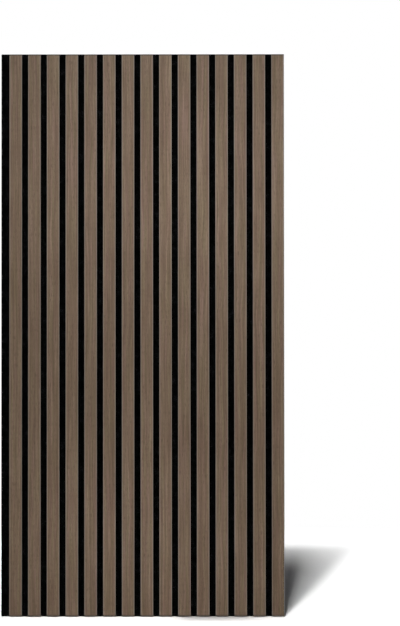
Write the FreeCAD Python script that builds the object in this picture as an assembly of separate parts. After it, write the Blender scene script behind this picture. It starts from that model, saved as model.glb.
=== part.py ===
"""Acoustic slat wall panel, 1200 mm high, 605 mm wide and 21 mm thick.

The panel is a black board of pressed polyester felt that carries fifteen upright slats.
Each slat is a bar of black fibreboard with a walnut veneer glued to its front face.
The slats are glued to the felt, and wire staples driven through the felt from behind
clamp them while the glue sets. The staple crowns are pulled just under the felt's back.
On the left the felt runs on past the first slat, so that the next panel can butt against
it. On the right the felt stops level with the last slat.

Frame, in millimetres: the origin is the centre of the felt's back face, which goes
against the wall. +X runs to the right as the panel is seen, +Y runs into the wall and
+Z runs up the slats, so the slats' faces look along -Y.
"""

import FreeCAD, Part
import os

Vector = FreeCAD.Vector

# Slats
slat_count = 15
slat_width = 27.0
slat_gap = 13.0
slat_length = 1200.0
core_thickness = 11.4
veneer_thickness = 0.6
veneer_arris_radius = 0.4

# Felt board
felt_thickness = 9.0
felt_tongue = 18.0

# Staples: flat wire, bent to a crown and two legs with chisel points
crown_width = 12.8
wire_width = 0.95
wire_thickness = 0.65
bend_radius = 0.5
chisel_length = 1.2
crown_depth = 0.4
core_left_under_staple = 4.0
staple_clearance = 0.03

# Staple rows, counted up each slat
staple_rows = 6
staple_end_distance = 50.0

# Worked out from the values above
slat_pitch = slat_width + slat_gap
panel_width = felt_tongue + slat_count * slat_width + (slat_count - 1) * slat_gap
panel_left = -panel_width / 2
panel_bottom = -slat_length / 2
first_slat_left = panel_left + felt_tongue
core_back = -felt_thickness
core_front = core_back - core_thickness
veneer_front = core_front - veneer_thickness
leg_length = felt_thickness + core_thickness - core_left_under_staple - crown_depth
staple_row_pitch = (slat_length - 2 * staple_end_distance) / (staple_rows - 1)


def slat_left(index):
    """X of the left side of a slat, counted from 0 at the left."""
    return first_slat_left + index * slat_pitch


def slat_centre(index):
    """X of the middle of a slat."""
    return slat_left(index) + slat_width / 2


def staple_height(row):
    """Z of a row of staples, counted from 0 at the bottom."""
    return panel_bottom + staple_end_distance + row * staple_row_pitch


def bar(left, width, front, thickness):
    """An upright bar as long as the slats, from its left side and its front face."""
    return Part.makeBox(width, thickness, slat_length, Vector(left, front, panel_bottom))


def bend_arc(centre_x, centre_depth, radius, side):
    """A quarter circle of one bend, with its end on the crown and its end on the leg.

    side is -1 for the left leg and 1 for the right one.
    """
    diagonal = radius * 0.5**0.5
    crown_end = Vector(centre_x, radius - centre_depth, 0)
    middle = Vector(centre_x + side * diagonal, diagonal - centre_depth, 0)
    leg_end = Vector(centre_x + side * radius, -centre_depth, 0)
    return Part.Arc(crown_end, middle, leg_end).toShape(), crown_end, leg_end


def staple_outline(grow):
    """The staple's flat outline in the X-Y plane, with every side moved out by grow.

    The crown lies along X and the legs run along -Y, to a point in the middle of the
    wire. The inner and the outer arc of each bend share one centre.
    """
    outer_half = crown_width / 2 + grow
    inner_half = crown_width / 2 - wire_thickness - grow
    tip_half = (outer_half + inner_half) / 2
    bend_centre = crown_width / 2 - wire_thickness - bend_radius
    bend_depth = crown_depth + wire_thickness + bend_radius
    tip_depth = crown_depth + leg_length + grow
    shoulder_depth = tip_depth - chisel_length

    edges = []
    crown_ends = {}
    for side in (-1, 1):
        centre = side * bend_centre
        outer_radius = bend_radius + wire_thickness + grow
        outer, outer_crown, outer_leg = bend_arc(centre, bend_depth, outer_radius, side)
        inner, inner_crown, inner_leg = bend_arc(centre, bend_depth, bend_radius - grow, side)
        outer_shoulder = Vector(side * outer_half, -shoulder_depth, 0)
        tip = Vector(side * tip_half, -tip_depth, 0)
        inner_shoulder = Vector(side * inner_half, -shoulder_depth, 0)
        leg = Part.makePolygon([outer_leg, outer_shoulder, tip, inner_shoulder, inner_leg])
        edges += [outer, inner] + leg.Edges
        crown_ends[side] = (outer_crown, inner_crown)
    for left_end, right_end in zip(crown_ends[-1], crown_ends[1]):
        edges.append(Part.LineSegment(left_end, right_end).toShape())
    return Part.Face(Part.Wire(Part.sortEdges(edges)[0]))


def wire_body(grow):
    """The staple's wire as a solid about Z = 0, with every side moved out by grow."""
    width = wire_width + 2 * grow
    outline = staple_outline(grow)
    outline.translate(Vector(0, 0, -width / 2))
    return outline.extrude(Vector(0, 0, width))


def staple_pocket():
    """What a staple cuts away: its own legs and bends, and the groove that its crown made
    on its way in from the back face."""
    groove_width = crown_width + 2 * staple_clearance
    groove_height = wire_width + 2 * staple_clearance
    groove_floor = -(crown_depth + wire_thickness / 2)
    past_the_back = crown_depth
    groove = Part.makeBox(
        groove_width,
        past_the_back - groove_floor,
        groove_height,
        Vector(-groove_width / 2, groove_floor, -groove_height / 2),
    )
    return wire_body(staple_clearance).fuse(groove)


def placed(shape, slat, row):
    """A copy of a staple or of its pocket, moved to its slat and its row."""
    copy = shape.copy()
    copy.translate(Vector(slat_centre(slat), 0, staple_height(row)))
    return copy


def staples_on(shape, slats):
    """One copy of a shape for every staple of the given slats."""
    return [placed(shape, slat, row) for slat in slats for row in range(staple_rows)]


def felt_backing(pocket):
    """The felt board, with a pocket for each staple."""
    board = bar(panel_left, panel_width, core_back, felt_thickness)
    return board.cut(Part.makeCompound(staples_on(pocket, range(slat_count))))


def slat_core(index, pocket):
    """The fibreboard bar of one slat, with the blind holes of its staple legs."""
    core = bar(slat_left(index), slat_width, core_front, core_thickness)
    return core.cut(Part.makeCompound(staples_on(pocket, [index])))


def slat_veneer(index):
    """The veneer on one slat's face, with its two long front edges sanded round."""
    sheet = bar(slat_left(index), slat_width, veneer_front, veneer_thickness)
    long_front_edges = [
        edge
        for edge in sheet.Edges
        if edge.Length > slat_width
        and all(abs(vertex.Y - veneer_front) < veneer_thickness / 2 for vertex in edge.Vertexes)
    ]
    largest_radius = 0.9 * veneer_thickness
    return sheet.makeFillet(min(veneer_arris_radius, largest_radius), long_front_edges)


def staples():
    """All the staples, as separate solids."""
    return Part.makeCompound(staples_on(wire_body(0), range(slat_count)))


def save(name, shape):
    """Writes one sub-part to its own file."""
    assert shape.isValid(), name
    shape.exportStep(os.path.join("parts", name + ".step"))


os.makedirs("parts", exist_ok=True)
one_pocket = staple_pocket()
save("felt_backing", felt_backing(one_pocket))
save("staples", staples())
for slat in range(slat_count):
    save(f"slat_core_{slat + 1:02d}", slat_core(slat, one_pocket))
    save(f"slat_veneer_{slat + 1:02d}", slat_veneer(slat))
print(f"panel {panel_width:g} x {slat_length:g} x {-veneer_front:g} mm, staple legs {leg_length:g} mm")
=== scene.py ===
# %% [markdown]
# # An acoustic slat wall panel
#
# The real thing is a board of black polyester felt with fifteen upright slats glued and
# stapled to it. Each slat is black fibreboard with a thin walnut veneer on its face. This
# notebook dresses the measured model: its slats, veneers and staples keep their shapes and
# get finishes, and the felt, which is soft, is modelled again.
#
# The measured model is loaded first, because the felt and the finishes are built on its
# places and sizes.

# %% Load the measured model
import math

import bpy
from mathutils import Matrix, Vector


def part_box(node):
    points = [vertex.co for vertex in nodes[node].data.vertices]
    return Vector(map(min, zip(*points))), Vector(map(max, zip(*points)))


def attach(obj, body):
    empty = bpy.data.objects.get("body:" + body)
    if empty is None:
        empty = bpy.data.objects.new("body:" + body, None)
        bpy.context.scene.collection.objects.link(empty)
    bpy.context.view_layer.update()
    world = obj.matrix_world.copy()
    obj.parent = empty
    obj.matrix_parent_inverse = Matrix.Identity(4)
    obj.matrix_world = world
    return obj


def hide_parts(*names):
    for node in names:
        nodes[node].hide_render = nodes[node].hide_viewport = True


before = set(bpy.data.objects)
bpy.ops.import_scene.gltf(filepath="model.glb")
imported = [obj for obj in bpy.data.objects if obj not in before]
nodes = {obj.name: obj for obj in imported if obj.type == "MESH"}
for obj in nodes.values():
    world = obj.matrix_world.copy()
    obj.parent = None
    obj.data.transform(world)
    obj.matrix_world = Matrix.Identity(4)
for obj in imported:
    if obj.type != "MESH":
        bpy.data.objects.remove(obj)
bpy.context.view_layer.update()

# %% [markdown]
# The panel is regular: one slat, repeated at one spacing. Reading the first two slats is
# enough to know where all of them are. Everything is in metres, with +X to the right,
# +Y into the wall and +Z up.

# %% Read the sizes that repeat
core_names = sorted(name for name in nodes if name.startswith("slat_core"))
veneer_names = sorted(name for name in nodes if name.startswith("slat_veneer"))
felt_low, felt_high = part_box("felt_backing")
core_low, core_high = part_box("slat_core_01")
second_core_low, second_core_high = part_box("slat_core_02")
veneer_low, veneer_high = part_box("slat_veneer_01")

slat_width = core_high.x - core_low.x
slat_pitch = second_core_low.x - core_low.x
slat_gap = slat_pitch - slat_width
slat_centres = [core_low.x + slat_width / 2 + slat_pitch * i for i in range(len(core_names))]
half_height = felt_high.z
print(len(core_names), "slats", round(slat_width, 4), "wide,", round(slat_gap, 4), "apart")

# %% [markdown]
# The staples are one object with ninety separate pieces of wire. Their heights can be
# found from the wire itself: it is about a millimetre thick, so rounding each corner's
# height to a centimetre leaves one value for each row.

# %% Find the staples
staple_low, staple_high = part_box("staples")
staple_rows = sorted({round(corner.co.z, 2) for corner in nodes["staples"].data.vertices})
row_pitch = staple_rows[1] - staple_rows[0]
half_crown = slat_centres[0] - staple_low.x
print("staple rows at", staple_rows, "and crowns", round(-staple_high.y * 1000, 2), "mm under the felt")

# %% [markdown]
# ## The camera
#
# The photograph is 400 by 626 pixels and shows the panel left of the middle, nearly
# square on, with its uprights leaning together a very little towards the top. A level
# camera would keep them parallel, so this one looks up by about a degree. It stands far
# back behind a long lens, as for a product photograph, and a little right of the panel's
# middle, which puts the panel on the left without turning it. A twentieth of a degree of
# roll follows the slats' lean to within a third of a pixel.

# %% Place the camera
camera_distance = 5.0
camera_right = 0.1226
camera_height = -0.0379
camera_pitch = math.radians(0.966)
camera_roll = math.radians(0.05)
camera_lens = 134.68
sensor_width = 36
farthest_seen = 200

camera_data = bpy.data.cameras.new("camera")
camera_data.sensor_width = sensor_width
camera_data.lens = camera_lens
camera_data.clip_end = farthest_seen
camera = bpy.data.objects.new("camera", camera_data)
bpy.context.scene.collection.objects.link(camera)
camera.location = (camera_right, veneer_low.y - camera_distance, camera_height)
camera.rotation_euler = (math.radians(90) + camera_pitch, camera_roll, 0)
bpy.context.scene.camera = camera
print("camera at", [round(value, 3) for value in camera.location], "with a lens of", camera_lens, "mm")

# %% [markdown]
# ## The felt board
#
# The board is nine millimetres of needled polyester, stiff enough to stand but soft to
# the touch. A plain block would look like plastic: real felt is pulled in around each
# staple, swells a little between the slats, and has cut edges that aren't quite flat.
#
# It starts as a block of the measured size, whose edges are eased with a small bevel. Its
# two ends stand a little past the slats: in the photograph the black reaches as high
# and as low as the slats do, although it lies behind them, and felt is cut generously so
# that it closes up against the next board.

# %% Start the felt as a block
felt_edge_round = 0.0007
felt_proud = 0.0015

felt_size = felt_high - felt_low
bpy.ops.object.select_all(action="DESELECT")
bpy.ops.mesh.primitive_cube_add(
    size=1,
    location=(felt_low + felt_high) / 2,
    scale=(felt_size.x, felt_size.y, felt_size.z + 2 * felt_proud),
)
felt = bpy.context.active_object
felt.name = "felt_board"
bpy.ops.object.transform_apply(location=True, rotation=True, scale=True)
bpy.ops.object.mode_set(mode="EDIT")
bpy.ops.mesh.select_all(action="SELECT")
bpy.ops.mesh.bevel(offset=felt_edge_round, segments=2, affect="EDGES")
bpy.ops.object.mode_set(mode="OBJECT")
print("felt block with eased edges:", len(felt.data.polygons), "faces")

# %% [markdown]
# Next the block needs points to move. Subdividing it evenly would spend most of them
# where nothing happens, so it is cut by planes exactly where the shape will change: close
# together at the staple rows and under the slats, further apart elsewhere. First the
# places of the cuts are listed.

# %% List where the shape will change
row_steps = (0.0012, 0.003, 0.0055, 0.0085, 0.0125, 0.018)
slat_steps = (0.0032, half_crown, 0.0088, 0.0114, slat_width / 2, 0.0168)
end_steps = (0.006, 0.014, 0.024)
tongue_steps = (0.003, 0.009)
parts_between_rows = 8
parts_in_depth = 4


def near(centres, steps):
    """Each centre, and the places at each step below and above it."""
    return sorted({round(c + side * s, 6) for c in centres for s in (0, *steps) for side in (-1, 1)})


between_rows = [
    low + (high - low) * share / parts_between_rows
    for low, high in zip(staple_rows, staple_rows[1:])
    for share in range(1, parts_between_rows)
]
end_places = [side * (half_height - away) for side in (-1, 1) for away in end_steps]
gap_centres = [centre + slat_pitch / 2 for centre in slat_centres[:-1]]
tongue_places = [felt_low.x + away for away in tongue_steps]
depths = [
    felt_low.y + (felt_high.y - felt_low.y) * share / parts_in_depth
    for share in range(1, parts_in_depth)
]
heights = near(staple_rows, row_steps) + between_rows + end_places
widths = near(slat_centres, slat_steps) + gap_centres + tongue_places
print("cuts: in depth", len(depths), "in height", len(heights), "in width", len(widths))

# %% [markdown]
# Bisect is the operator for this: it cuts all that is selected by one plane, and leaves
# the outside as it was.

# %% Cut the felt
def cut_across(axis, places):
    """Cuts the object in edit mode by a plane at each place along an axis."""
    normal = [0, 0, 0]
    normal[axis] = 1
    for place in places:
        point = [0, 0, 0]
        point[axis] = place
        bpy.ops.mesh.select_all(action="SELECT")
        bpy.ops.mesh.bisect(plane_co=point, plane_no=normal)


bpy.ops.object.mode_set(mode="EDIT")
cut_across(1, depths)
cut_across(2, heights)
cut_across(0, widths)
bpy.ops.object.mode_set(mode="OBJECT")
print("felt after cutting:", len(felt.data.polygons), "faces")

# %% [markdown]
# A staple pulls the felt in with it. By hand, that is proportional editing: select the
# points under every crown, hide the front so that it stays flat against the slats, and
# push with a soft falloff, so that each staple ends up in its own shallow dimple. The
# points are picked by their place.

# %% Pick points by their place
crown_margin = 0.0013
back_layer = 0.0012
tolerance = 0.0001
back_starts = felt_high.y - back_layer


def pick_vertices(mesh_object, wanted):
    """Selects, in object mode, the vertices for which wanted(place) is true."""
    bpy.ops.object.mode_set(mode="EDIT")
    bpy.ops.mesh.select_mode(type="VERT")
    bpy.ops.mesh.select_all(action="DESELECT")
    bpy.ops.object.mode_set(mode="OBJECT")
    for vertex in mesh_object.data.vertices:
        vertex.select = wanted(vertex.co)
    return sum(vertex.select for vertex in mesh_object.data.vertices)


def off_a_slat(place):
    """How far a point is, sideways, from the middle of the nearest slat."""
    return min(abs(place.x - centre) for centre in slat_centres)


def under_a_crown(place):
    """Whether a point on the back lies under one of the staples' crowns."""
    if place.y < back_starts:
        return False
    above = min(abs(place.z - row) for row in staple_rows)
    return off_a_slat(place) < half_crown + tolerance and above < crown_margin


hidden = pick_vertices(felt, lambda place: place.y < back_starts)
print("points in front of the back's own layer:", hidden)

# %% [markdown]
# The points just picked are hidden, the ones under the crowns are selected instead, and
# one push moves all ninety dimples at once.

# %% Pull the felt in under the staples
dimple_depth = 0.00065
dimple_reach = 0.011

bpy.ops.object.mode_set(mode="EDIT")
bpy.ops.mesh.hide(unselected=False)
bpy.ops.object.mode_set(mode="OBJECT")
for vertex in felt.data.vertices:
    vertex.select = not vertex.hide and under_a_crown(vertex.co)
pulled = sum(vertex.select for vertex in felt.data.vertices)
bpy.ops.object.mode_set(mode="EDIT")
bpy.ops.transform.translate(
    value=(0, -dimple_depth, 0),
    use_proportional_edit=True,
    proportional_edit_falloff="SMOOTH",
    proportional_size=dimple_reach,
)
bpy.ops.mesh.reveal(select=False)
bpy.ops.object.mode_set(mode="OBJECT")
print("points pulled in under the crowns:", pulled)

# %% [markdown]
# Between the slats nothing holds the felt down, so it stands a little proud there. The
# middle line of each gap is pulled forward, with a falloff that dies out at the slats'
# sides.

# %% Let the felt swell between the slats
swell_height = 0.0004
free_places = gap_centres + [tongue_places[1]]


def in_a_gap(place):
    """Whether a point on the front lies on the middle line between two slats."""
    at_front = place.y < felt_low.y + tolerance
    return at_front and min(abs(place.x - free) for free in free_places) < tolerance


picked = pick_vertices(felt, in_a_gap)
bpy.ops.object.mode_set(mode="EDIT")
bpy.ops.transform.translate(
    value=(0, -swell_height, 0),
    use_proportional_edit=True,
    proportional_edit_falloff="SPHERE",
    proportional_size=slat_gap / 2,
)
bpy.ops.object.mode_set(mode="OBJECT")
print("points pulled forward in the gaps:", picked)

# %% [markdown]
# Pressed felt is never quite flat. A Displace modifier moves its free surfaces by a few
# tenths of a millimetre along a cloudy pattern, which the raking light of a side view
# picks up. A vertex group keeps the strip under each slat out of it, so that the slats
# still sit on the board, and gives the gaps a smaller share.

# %% Roughen the free surfaces
unevenness = 0.0007
cloud_size = 0.035
cloud_detail = 3
gap_share = 0.5
slat_margin = 0.0002
beside_slat = slat_width / 2 + slat_margin


def displace(name, noise_size, direction, strength, group):
    """A Displace modifier on the felt, along one axis, that a cloudy texture drives."""
    texture = bpy.data.textures.new(name, type="CLOUDS")
    texture.noise_scale = noise_size
    made = felt.modifiers.new(name, "DISPLACE")
    made.texture = texture
    made.texture_coords = "LOCAL"
    made.direction = direction
    made.mid_level = 0.5
    made.strength = strength
    made.vertex_group = group.name
    return made


free_felt = felt.vertex_groups.new(name="free")
back_points = [
    vertex.index
    for vertex in felt.data.vertices
    if vertex.co.y > back_starts and not under_a_crown(vertex.co)
]
gap_points = [
    vertex.index
    for vertex in felt.data.vertices
    if vertex.co.y < felt_low.y + tolerance and off_a_slat(vertex.co) > beside_slat
]
free_felt.add(back_points, 1.0, "REPLACE")
free_felt.add(gap_points, gap_share, "REPLACE")
roughen = displace("pressed_felt", cloud_size, "Y", unevenness, free_felt)
roughen.texture.noise_depth = cloud_detail
bpy.context.view_layer.objects.active = felt
bpy.ops.object.modifier_apply(modifier=roughen.name)
print("points left free:", len(back_points), "at the back,", len(gap_points), "in the gaps")

# %% [markdown]
# The board is cut with a blade that drags at the fibres, so its long left side, which
# stands free of the slats, wavers too. The same kind of modifier does it, this time
# across the board.

# %% Waver the cut edge
blade_drag = 0.0005
drag_size = 0.012
side_margin = 0.0004
corner_margin = 0.001
smooth_below = math.radians(40)

cut_edge = felt.vertex_groups.new(name="cut_edge")
side_points = [
    vertex.index
    for vertex in felt.data.vertices
    if vertex.co.x < felt_low.x + side_margin
    and felt_low.y + corner_margin < vertex.co.y < felt_high.y - corner_margin
]
cut_edge.add(side_points, 1.0, "REPLACE")
waver = displace("blade_drag", drag_size, "X", blade_drag, cut_edge)
bpy.ops.object.modifier_apply(modifier=waver.name)
bpy.ops.object.shade_smooth_by_angle(angle=smooth_below)

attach(felt, "root")
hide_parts("felt_backing")
print("felt:", len(felt.data.polygons), "faces,", len(side_points), "points wavered")

# %% [markdown]
# ## Smoked walnut veneer
#
# Each finish is a tree of shader nodes, and a few small helpers keep the trees readable.
# The first adds a node and fills in its sockets: a socket that is given another node's
# output is linked to it. The second starts a new finish. Its pattern reads Object
# coordinates, which are metres on the object itself, so it stays put on the piece.

# %% Start the veneer's finish
def add_node(tree, kind, sockets=None, **options):
    """Adds a shader node, sets its options, and fills or links its sockets."""
    made = tree.nodes.new(kind)
    for option, value in options.items():
        setattr(made, option, value)
    for name, value in (sockets or {}).items():
        if isinstance(value, bpy.types.NodeSocket):
            tree.links.new(value, made.inputs[name])
        else:
            made.inputs[name].default_value = value
    return made


def new_finish(name):
    """A new material, its node tree, its Principled shader and its Object coordinates."""
    material = bpy.data.materials.new(name)
    material.use_nodes = True
    tree = material.node_tree
    shader = tree.nodes["Principled BSDF"]
    place = add_node(tree, "ShaderNodeTexCoord").outputs["Object"]
    return material, tree, shader, place


veneer, tree, shader, place = new_finish("smoked_walnut_veneer")
print("started", veneer.name, "with", len(tree.nodes), "nodes")

# %% [markdown]
# The slats are cut from one veneered board, but neighbours don't match: each shows its own
# stretch of grain. So the finish first works out which slat a point is on, turns that
# number into a random one, and slides the grain across and along by them. One material
# then serves all fifteen veneers.

# %% Tell the slats apart
slide_across = 3.0
slide_along = 4.7


def math_node(tree, operation, first, second=0.0, third=0.0):
    """The result of one sum on sockets or numbers."""
    return add_node(
        tree, "ShaderNodeMath", {0: first, 1: second, 2: third}, operation=operation
    ).outputs[0]


axes = add_node(tree, "ShaderNodeSeparateXYZ", {0: place}).outputs
first_strip_left = core_low.x - slat_gap / 2
from_first = math_node(tree, "SUBTRACT", axes[0], first_strip_left)
strip = math_node(tree, "DIVIDE", from_first, slat_pitch)
slat_number = math_node(tree, "FLOOR", strip)
chance = add_node(tree, "ShaderNodeTexWhiteNoise", {"W": slat_number}, noise_dimensions="1D")
slide_x = math_node(tree, "MULTIPLY", chance.outputs["Value"], slide_across)
slide_z = math_node(tree, "MULTIPLY", slat_number, slide_along)
print("slat strips are counted from x =", round(first_strip_left, 4))

# %% [markdown]
# Straight-grained wood isn't ruled with a straightedge: the streaks drift by a millimetre
# or two over a hand's length. A slow noise along the slat pushes the grain sideways before
# anything else reads it. Its helper takes the size of a grain in metres along each axis,
# which is the natural way to think of wood streaks or felt fibres.

# %% Let the grain drift
drift_span = 0.012
drift_length = 0.16
drift_breadth = slat_pitch * 4


def grains(tree, place, size, turn=(0, 0, 0), detail=2.0):
    """Noise from 0 to 1 whose grains have the given size in metres, turned as told."""
    stretched = add_node(
        tree,
        "ShaderNodeMapping",
        {"Vector": place, "Rotation": turn, "Scale": size},
        vector_type="TEXTURE",
    )
    noise = add_node(
        tree,
        "ShaderNodeTexNoise",
        {"Vector": stretched.outputs[0], "Scale": 1.0, "Detail": detail},
    )
    return noise.outputs[0]


slow = grains(tree, place, (drift_breadth, 1.0, drift_length), detail=1.0)
drift = math_node(tree, "MULTIPLY", math_node(tree, "SUBTRACT", slow, 0.5), drift_span)
grain_x = math_node(tree, "ADD", math_node(tree, "ADD", axes[0], drift), slide_x)
grain_z = math_node(tree, "ADD", axes[2], slide_z)
grain_place = add_node(
    tree, "ShaderNodeCombineXYZ", {0: grain_x, 1: axes[1], 2: grain_z}
).outputs[0]
print("the grain drifts within", drift_span, "m, over lengths of", drift_length, "m")

# %% [markdown]
# Wood shows its structure at several sizes at once: growth bands about a centimetre
# across, streaks of a few millimetres, fine lines of a millimetre, and a slow cloudy
# change along the slat. Each is a stretched noise, and they are added up with weights.

# %% Add up bands, streaks and lines
grain_layers = (
    # weight, width, length, detail
    (0.55, 0.0090, 0.70, 1.0),
    (0.80, 0.0034, 0.22, 2.0),
    (0.70, 0.0011, 0.07, 2.0),
    (0.35, 0.0200, 0.09, 2.0),
)
tone = 0.5
for weight, width, length, detail in grain_layers:
    layer = grains(tree, grain_place, (width, 1.0, length), detail=detail)
    tone = math_node(tree, "MULTIPLY_ADD", math_node(tree, "SUBTRACT", layer, 0.5), weight, tone)
print("grain layers:", len(grain_layers))

# %% [markdown]
# A colour ramp turns the tone into wood. Colours are written as on a screen, from 0 to
# 255, and a helper turns them into the linear light that shaders reckon in.

# %% Colour the wood
def colour(red, green, blue):
    """A screen colour with values from 0 to 255, turned into linear light."""
    def linear(value):
        value /= 255
        return value / 12.92 if value <= 0.04045 else ((value + 0.055) / 1.055) ** 2.4

    return linear(red), linear(green), linear(blue)


def ramp(tree, value, stops):
    """A colour for the value, from (position, colour) stops."""
    made = add_node(tree, "ShaderNodeValToRGB", {0: value})
    while len(made.color_ramp.elements) < len(stops):
        made.color_ramp.elements.new(1.0)
    for element, (position, shade) in zip(made.color_ramp.elements, stops):
        element.position = position
        element.color = (*shade, 1.0)
    return made.outputs[0]


wood_tones = (
    (0.20, colour(83, 64, 47)),
    (0.42, colour(97, 78, 59)),
    (0.55, colour(105, 86, 67)),
    (0.80, colour(120, 102, 82)),
)
wood = ramp(tree, tone, wood_tones)
print("screen value 105 is", round(colour(105, 105, 105)[0], 3), "in linear light")

# %% [markdown]
# Smoked walnut also wanders in hue, towards pink in one streak and towards olive in the
# next, and whole slats differ a little in lightness. The hue is multiplied in by a Mix
# node, and the lightness by stretching each slat's random number to a narrow range.

# %% Vary the hue and the slats
hues = ((0.35, (0.96, 1.02, 0.91)), (0.65, (1.045, 0.98, 1.08)))
hue_size = (0.0060, 1.0, 0.18)
darkest_slat = 0.98
lightest_slat = 1.02


def mixed(tree, blend, factor, first, second):
    """Two colours put together by a Mix node."""
    made = add_node(tree, "ShaderNodeMix", data_type="RGBA", blend_type=blend)
    for index, value in ((0, factor), (6, first), (7, second)):
        if isinstance(value, bpy.types.NodeSocket):
            tree.links.new(value, made.inputs[index])
        else:
            made.inputs[index].default_value = value
    return made.outputs[2]


def in_range(tree, value, low, high, new_low=0.0, new_high=1.0):
    """Goes smoothly from new_low to new_high as the value goes from low to high."""
    return add_node(
        tree,
        "ShaderNodeMapRange",
        {"Value": value, "From Min": low, "From Max": high, "To Min": new_low, "To Max": new_high},
        interpolation_type="SMOOTHSTEP",
    ).outputs[0]


def scaled(tree, shade, factor):
    """A colour made lighter or darker by a factor."""
    return add_node(
        tree, "ShaderNodeVectorMath", {0: shade, "Scale": factor}, operation="SCALE"
    ).outputs[0]


hue_noise = grains(tree, grain_place, hue_size, detail=2.0)
wood = mixed(tree, "MULTIPLY", 1.0, wood, ramp(tree, hue_noise, hues))
slat_shade = in_range(tree, chance.outputs["Value"], 0.0, 1.0, darkest_slat, lightest_slat)
wood = scaled(tree, wood, slat_shade)
print("slats differ in lightness by up to", round(lightest_slat - darkest_slat, 2))

# %% [markdown]
# Close up, walnut is full of pores: short dark dashes along the grain, a third of a
# millimetre wide. They are the tips of a very fine stretched noise, and some patches have
# more of them than others. They also dent the surface, so the same pattern drives the
# bump further down.

# %% Open the pores
pore_size = (0.00042, 1.0, 0.012)
patch_size = (0.006, 1.0, 0.10)
patch_weight = 0.25
pore_starts = 0.70
pore_full = 0.78
pore_strength = 0.55
pore_colour = (*colour(58, 44, 33), 1.0)

pore_noise = grains(tree, grain_place, pore_size, detail=1.0)
pore_patches = grains(tree, grain_place, patch_size, detail=1.0)
pore_level = math_node(tree, "MULTIPLY_ADD", pore_patches, patch_weight, pore_noise)
pores = in_range(tree, pore_level, pore_starts, pore_full)
pore_share = math_node(tree, "MULTIPLY", pores, pore_strength)
wood = mixed(tree, "MIX", pore_share, wood, pore_colour)
print("pores", pore_size[0] * 1000, "mm wide and", pore_size[2] * 1000, "mm long")

# %% [markdown]
# The long edges are sanded round, which takes off some stain, and they are painted a
# shade lighter and greyer: partly that wear, partly a painted highlight where the rounded
# edge catches the light. The slats' sides were blacked after that, and the black laps
# over the rounded corner by less than half a millimetre. The sawn ends drink in more
# lacquer and turn darker. All three are the same step: a colour that comes in towards an
# edge.

# %% Finish the edges and ends, and paint the edges' highlight
across = math_node(tree, "SUBTRACT", math_node(tree, "FRACT", strip), 0.5)
from_centre = math_node(tree, "ABSOLUTE", math_node(tree, "MULTIPLY", across, slat_pitch))
from_middle = math_node(tree, "ABSOLUTE", axes[2])
half_width = slat_width / 2
edge_finishes_and_highlight = (
    # measured as, edge, starts this far inside it, full this far inside it, share, colour
    # sanded wear and a painted highlight along the rounded edge
    (from_centre, half_width, 0.0026, 0.0014, 0.60, colour(125, 118, 110)),
    (from_centre, half_width, 0.0005, 0.0002, 0.90, colour(14, 12, 11)),
    (from_middle, half_height, 0.0038, 0.0018, 0.75, colour(62, 54, 46)),
)
for measure, edge, starts, full, share, shade in edge_finishes_and_highlight:
    near_edge = in_range(tree, measure, edge - starts, edge - full, 0.0, share)
    wood = mixed(tree, "MIX", near_edge, wood, (*shade, 1.0))
print("edge finishes: sanded, lapped with black, sawn;", len(edge_finishes_and_highlight), "in all")

# %% [markdown]
# The lacquer is matt: a broad, weak shine, a little rougher over the pores. Two bumps in
# a row leave faint ridges along the streaks and dent the pores.

# %% Lacquer the veneer
wood_roughness = 0.56
pore_roughness = 0.75
lacquer_shine = 0.30

ridges = add_node(
    tree,
    "ShaderNodeBump",
    {"Height": tone, "Strength": 0.25, "Distance": 0.0004},
)
dents = add_node(
    tree,
    "ShaderNodeBump",
    {"Height": pores, "Strength": 0.5, "Distance": 0.0001, "Normal": ridges.outputs[0]},
    invert=True,
)
roughness = in_range(tree, pores, 0.0, 1.0, wood_roughness, pore_roughness)
tree.links.new(wood, shader.inputs["Base Color"])
tree.links.new(roughness, shader.inputs["Roughness"])
tree.links.new(dents.outputs[0], shader.inputs["Normal"])
shader.inputs["Specular IOR Level"].default_value = lacquer_shine
for name in veneer_names:
    nodes[name].material_slots[0].material = veneer
print("veneer finish:", len(tree.nodes), "nodes on", len(veneer_names), "veneers")

# %% [markdown]
# ## Black fibreboard
#
# The slats' bodies are fibreboard dyed black right through. It is packed from fine wood
# fibres, so it is a very dark brown-black with a faint speckle, and the saw leaves it a
# little fuzzy. Fine grains of noise give the speckle and the bump.

# %% Dye the fibreboard
chip_size = (0.0009, 0.0006, 0.0022)
saw_mark_size = (0.5, 0.0007, 0.06)
chip_weight = 0.65
saw_mark_weight = 0.35
board_tones = ((0.35, colour(6, 5, 5)), (0.52, colour(13, 12, 11)), (0.70, colour(30, 27, 24)))

board, tree, shader, place = new_finish("black_fibreboard")
chips = grains(tree, place, chip_size, detail=3.0)
saw_marks = grains(tree, place, saw_mark_size, detail=2.0)
chip_part = math_node(tree, "MULTIPLY", chips, chip_weight)
speckle = math_node(tree, "MULTIPLY_ADD", saw_marks, saw_mark_weight, chip_part)
fuzz = add_node(tree, "ShaderNodeBump", {"Height": speckle, "Strength": 0.4, "Distance": 0.0003})
tree.links.new(ramp(tree, speckle, board_tones), shader.inputs["Base Color"])
tree.links.new(fuzz.outputs[0], shader.inputs["Normal"])
shader.inputs["Roughness"].default_value = 0.85
shader.inputs["Specular IOR Level"].default_value = 0.12
for name in core_names:
    nodes[name].material_slots[0].material = board
print("fibreboard finish:", len(tree.nodes), "nodes on", len(core_names), "slats")

# %% [markdown]
# ## Black felt
#
# Felt is a tangle of fibres that lie every way in its surface. Four stretched noises,
# each turned to its own direction, stand for four sets of fibres, and the brightest of
# them at a point is the fibre on top. A slower noise makes some patches denser than
# others.

# %% Tangle the fibres
fibre_size = (0.0045, 0.004, 0.00028)
fibre_turns = (0.2, 0.95, 1.8, 2.6)
clump_size = 0.014
clump_weight = 0.35

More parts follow.
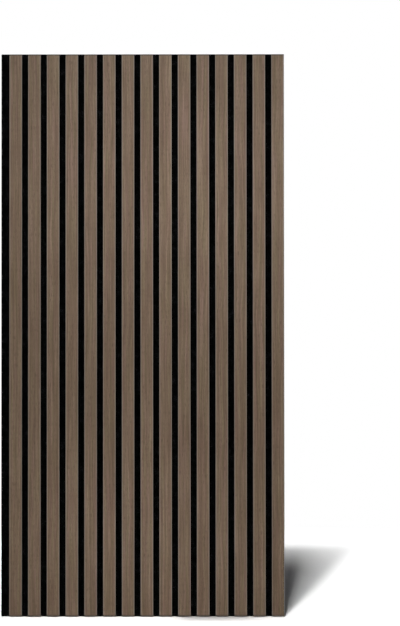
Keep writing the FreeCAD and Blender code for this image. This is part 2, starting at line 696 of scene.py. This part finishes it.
felt_finish, tree, shader, place = new_finish("black_felt")
fibres = 0.0
for turn in fibre_turns:
    strand = grains(tree, place, fibre_size, turn=(0, turn, 0), detail=1.0)
    fibres = math_node(tree, "MAXIMUM", strand, fibres)
clumps = grains(tree, place, (clump_size, clump_size, clump_size), detail=3.0)
clumped = math_node(tree, "SUBTRACT", clumps, 0.5)
nap = math_node(tree, "MULTIPLY_ADD", clumped, clump_weight, fibres)
print("fibres", fibre_size[2] * 1000, "mm wide in", len(fibre_turns), "directions")

# %% [markdown]
# The front is painted the deepest black, as painted shade for the narrow gaps between the
# slats, where it is seen. The back lay against the rollers that pressed the board, so its
# fibres are ironed flat, and it keeps a lighter grey-black. Both colours come from the
# same tangle, through ramps with the same positions.

# %% Colour the front and the back
nap_levels = (0.50, 0.64, 0.73, 0.84)
front_tones_in_painted_shade = (colour(1, 1, 1), colour(3, 3, 3), colour(12, 12, 13), colour(48, 48, 50))
back_tones = (colour(12, 12, 13), colour(25, 25, 26), colour(46, 46, 48), colour(88, 88, 92))

# the front's darker ramp is painted shade for the gaps between the slats
shaded_front_colour = ramp(tree, nap, list(zip(nap_levels, front_tones_in_painted_shade)))
pressed = ramp(tree, nap, list(zip(nap_levels, back_tones)))
print("felt ramps with", len(nap_levels), "stops each")

# %% [markdown]
# Round each staple the felt is packed tight, and the dent lies in its own shade, so the
# back is darkened there. How far a point is from the nearest crown follows from the
# slats' spacing across and the rows' spacing up.

# %% Shade the dents round the staples
dent_starts = 0.0010
dent_ends = 0.0080
dent_darkest = 0.30


def from_nearest(tree, value, first, spacing):
    """How far a value is from the nearest of many places, as a share of their spacing."""
    count = math_node(tree, "DIVIDE", math_node(tree, "SUBTRACT", value, first), spacing)
    off = math_node(tree, "SUBTRACT", count, math_node(tree, "ROUND", count))
    return math_node(tree, "ABSOLUTE", off)


axes = add_node(tree, "ShaderNodeSeparateXYZ", {0: place}).outputs
sideways = from_nearest(tree, axes[0], slat_centres[0], slat_pitch)
upwards = from_nearest(tree, axes[2], staple_rows[0], row_pitch)
past_crown = math_node(tree, "MULTIPLY_ADD", sideways, slat_pitch, -half_crown)
away_x = math_node(tree, "MAXIMUM", past_crown, 0.0)
away_z = math_node(tree, "MULTIPLY", upwards, row_pitch)
apart = add_node(tree, "ShaderNodeCombineXYZ", {0: away_x, 1: away_z}).outputs[0]
from_crown = add_node(tree, "ShaderNodeVectorMath", {0: apart}, operation="LENGTH").outputs["Value"]
dent_shade = in_range(tree, from_crown, dent_starts, dent_ends, dent_darkest, 1.0)
pressed = scaled(tree, pressed, dent_shade)
print("dents shaded in rows", round(row_pitch, 4), "m apart")

# %% [markdown]
# Front and back now come together by depth. All round the board, at the cut edges, the
# front's painted shade is partly taken away, so the felt is a little greyer there than on
# its front. The tangle of fibres also gives the bump, and the fuzz catches light at
# grazing angles, which is what sheen is for. The ironed back is less rough.

# %% Finish the felt
back_fade = (0.0030, 0.0014)
cut_fade = (0.0008, 0.0004)
cut_share = 0.55
front_roughness = 1.0
back_roughness = 0.7
fuzz_values = (
    ("Specular IOR Level", 0.01),
    ("Sheen Weight", 0.012),
    ("Sheen Roughness", 0.45),
    ("Sheen Tint", (0.5, 0.5, 0.52, 1.0)),
)

at_back = in_range(tree, axes[1], felt_high.y - back_fade[0], felt_high.y - back_fade[1])
greyer = at_back
for axis, outside in ((0, felt_high.x), (2, felt_high.z + felt_proud)):
    outwards = math_node(tree, "ABSOLUTE", axes[axis])
    cut = in_range(tree, outwards, outside - cut_fade[0], outside - cut_fade[1], 0.0, cut_share)
    greyer = math_node(tree, "MAXIMUM", greyer, cut)
felt_bump = add_node(tree, "ShaderNodeBump", {"Height": nap, "Strength": 0.7, "Distance": 0.0006})
felt_roughness = in_range(tree, at_back, 0.0, 1.0, front_roughness, back_roughness)
tree.links.new(mixed(tree, "MIX", greyer, shaded_front_colour, pressed), shader.inputs["Base Color"])
tree.links.new(felt_bump.outputs[0], shader.inputs["Normal"])
tree.links.new(felt_roughness, shader.inputs["Roughness"])
for socket, value in fuzz_values:
    shader.inputs[socket].default_value = value
felt.data.materials.append(felt_finish)
print("felt finish:", len(tree.nodes), "nodes")

# %% [markdown]
# ## Galvanised staples
#
# The staples are thin galvanised wire: a grey, slightly patchy metal, duller in some
# spots than in others.

# %% Galvanise the staples
spangle_size = 0.0012
zinc_tones = ((0.35, colour(150, 152, 156)), (0.65, colour(205, 206, 208)))
shiniest = 0.28
dullest = 0.5

zinc, tree, shader, place = new_finish("galvanised_wire")
spangle = grains(tree, place, (spangle_size, spangle_size, spangle_size), detail=2.0)
tree.links.new(ramp(tree, spangle, zinc_tones), shader.inputs["Base Color"])
dullness = in_range(tree, spangle, 0.3, 0.7, shiniest, dullest)
tree.links.new(dullness, shader.inputs["Roughness"])
shader.inputs["Metallic"].default_value = 1.0
nodes["staples"].material_slots[0].material = zinc
print("zinc finish:", len(tree.nodes), "nodes")

# %% [markdown]
# ## The floor and the background
#
# The photograph has a pure white ground, on which only the panel's shadow shows. The
# floor is a white card that the panel stands on.

# %% Lay the floor
floor_reach = 60.0
floor_height = felt_low.z - felt_proud

bpy.ops.object.select_all(action="DESELECT")
bpy.ops.mesh.primitive_plane_add(size=floor_reach, location=(0, 0, floor_height))
floor = bpy.context.active_object
floor.name = "floor"
print("floor at", round(floor_height, 4), "m")

# %% [markdown]
# What the camera sees of the card is made brighter than what it throws back onto the
# panel, so that it reaches white while the panel keeps its true level. The lamps reach it
# less and less further out, so the gain grows with the distance, and far away the card
# fades to plain white, so that no horizon shows.

# %% Work out how bright the card looks
fade_starts = 1.0
fade_ends = 2.6
card_gain = 2.68
gain_growth = 1.25

card = bpy.data.materials.new("white_card")
card.use_nodes = True
tree = card.node_tree
tree.nodes.remove(tree.nodes["Principled BSDF"])
place = add_node(tree, "ShaderNodeTexCoord").outputs["Object"]
away = add_node(tree, "ShaderNodeVectorMath", {0: place}, operation="LENGTH").outputs["Value"]
fade = in_range(tree, away, fade_starts, fade_ends)
away_squared = math_node(tree, "MULTIPLY", away, away)
gain = math_node(tree, "MULTIPLY_ADD", away_squared, gain_growth, card_gain)
print("gain at the foot:", card_gain, "and plain white from", fade_ends, "m on")

# %% [markdown]
# The photograph also has a faint shade just in front of the foot, under the panel's
# right half. It is too slight to be worth a lamp that would upset the rest, so the card
# is simply made a little darker there. Four soft edges bound it: in front, under the
# panel and on each side.

# %% Shade the card in front of the foot
shade_depth = 0.56
shade_reach = 0.125
shade_edges = (
    # axis, from, to, share before, share after
    (1, veneer_low.y - shade_reach, veneer_low.y, 0.0, 1.0),
    (1, veneer_low.y, felt_high.y, 1.0, 0.0),
    (0, 0.04, 0.11, 0.0, 1.0),
    (0, 0.16, 0.36, 1.0, 0.0),
)

axes = add_node(tree, "ShaderNodeSeparateXYZ", {0: place}).outputs
shaded = 1.0
for axis, starts, ends, before, after in shade_edges:
    soft_edge = in_range(tree, axes[axis], starts, ends, before, after)
    shaded = math_node(tree, "MULTIPLY", soft_edge, shaded)
left_over = in_range(tree, shaded, 0.0, 1.0, 1.0, 1.0 - shade_depth)
gain = math_node(tree, "MULTIPLY", gain, left_over)
print("shade of up to", shade_depth, "over", shade_reach, "m in front of the foot")

# %% [markdown]
# A Light Path node tells who is looking. The camera, a shine or a clear piece sees the
# brightened card, and all other light meets plain paper.

# %% Put the card together
paper_white = (0.8, 0.8, 0.8, 1.0)
pure_white = (1, 1, 1, 1)


def looked_at(tree):
    """1 where the camera, a shine or a clear piece looks, and 0 for all other light."""
    rays = add_node(tree, "ShaderNodeLightPath").outputs
    looking = math_node(tree, "MAXIMUM", rays["Is Camera Ray"], rays["Is Glossy Ray"])
    return math_node(tree, "MAXIMUM", looking, rays["Is Transmission Ray"])


paper = add_node(tree, "ShaderNodeBsdfDiffuse", {"Color": paper_white})
brighter = add_node(tree, "ShaderNodeBsdfDiffuse", {"Color": gain})
white = add_node(tree, "ShaderNodeEmission", {"Color": pure_white, "Strength": 1.0})
seen = add_node(
    tree, "ShaderNodeMixShader", {0: fade, 1: brighter.outputs[0], 2: white.outputs[0]}
)
either = add_node(
    tree, "ShaderNodeMixShader", {0: looked_at(tree), 1: paper.outputs[0], 2: seen.outputs[0]}
)
tree.links.new(either.outputs[0], tree.nodes["Material Output"].inputs["Surface"])
floor.data.materials.append(card)
print("card:", len(tree.nodes), "nodes")

# %% [markdown]
# The world is white wherever the camera, a shine or a clear piece looks at it. For
# everything else it is a dim, even light, so that it doesn't wash out the shadow.

# %% Light the world
ambient = 0.006

world = bpy.data.worlds.new("studio")
bpy.context.scene.world = world
world.use_nodes = True
tree = world.node_tree
strength = in_range(tree, looked_at(tree), 0.0, 1.0, ambient, 1.0)
background = tree.nodes["Background"]
background.inputs["Color"].default_value = pure_white
tree.links.new(strength, background.inputs["Strength"])
print("world light:", ambient)

# %% [markdown]
# ## The lamps
#
# The shadow in the photograph runs back and a little to the right. It is darkest along
# the panel and thins out to white in two steps, so the key light is two lamps side by
# side, well above the camera: the one further left is the brighter. The fill stands a
# metre behind the camera and nearly a metre above it, and lifts the whole face. Three
# narrow glows give the panel's brighter upper third, more of it on the right, and its
# foot.

# %% Hang the lamps in front
def hang_lamp(name, place, aim, width, height, watts, spread=180):
    """A rectangular lamp at a place, turned to face a point. The camera doesn't see it."""
    data = bpy.data.lights.new(name, "AREA")
    data.shape = "RECTANGLE"
    data.size = width
    data.size_y = height
    data.energy = watts
    data.spread = math.radians(spread)
    lamp = bpy.data.objects.new(name, data)
    bpy.context.scene.collection.objects.link(lamp)
    lamp.location = place
    lamp.rotation_euler = (Vector(aim) - Vector(place)).to_track_quat("-Z", "Y").to_euler()
    lamp.visible_camera = False


front_lamps = (
    # name, place, aim, width, height, watts, spread in degrees
    ("key", (-0.40, -4.6, 3.6), (0.0, 0, 0.33), 0.22, 0.5, 31, 90),
    ("soft_key", (-0.12, -4.6, 3.6), (0.0, 0, 0.33), 0.34, 0.5, 18, 90),
    ("fill", (-0.065, -6.0, 0.9), (0.06, 0, 0.36), 0.53, 0.8, 1.91, 36),
    ("upper_glow", (0.02, -6.0, 0.7), (0.02, 0, 0.30), 0.5, 0.2, 0.25, 10),
    ("right_glow", (0.20, -6.0, 0.65), (0.20, 0, 0.35), 0.4, 0.2, 0.147, 10),
    ("lower_glow", (0.0, -5.0, -0.5), (0.0, 0, -0.46), 0.4, 0.1, 0.22, 10),
)
for lamp_values in front_lamps:
    hang_lamp(*lamp_values)
print("lamps in front:", len(front_lamps))

# %% [markdown]
# Two strip lamps light the back and the sides. They lie on the floor behind the panel,
# one at each side, because light that skims along the floor hardly brightens it, so the
# shadow stays dark. They also rake across the felt's back, which brings out its dimples.

# %% Lay two strip lamps behind the panel
strip_width = 2.0
strip_height = 0.02
strip_lift = 0.013
strip_middle = floor_height + strip_lift
back_strips = (
    # name, x, y, watts
    ("back_right", 5.5, 4.5, 640),
    ("back_left", -6.8, 1.9, 330),
)

for name, x, y, watts in back_strips:
    hang_lamp(name, (x, y, strip_middle), (0, 0, strip_middle), strip_width, strip_height, watts)
print("strip lamps behind:", len(back_strips))

# %% [markdown]
# ## Final settings
#
# Colours are shown by the Standard transform, so that they come out as they were chosen.

# %% Set the colour transform
bpy.context.scene.view_settings.view_transform = "Standard"
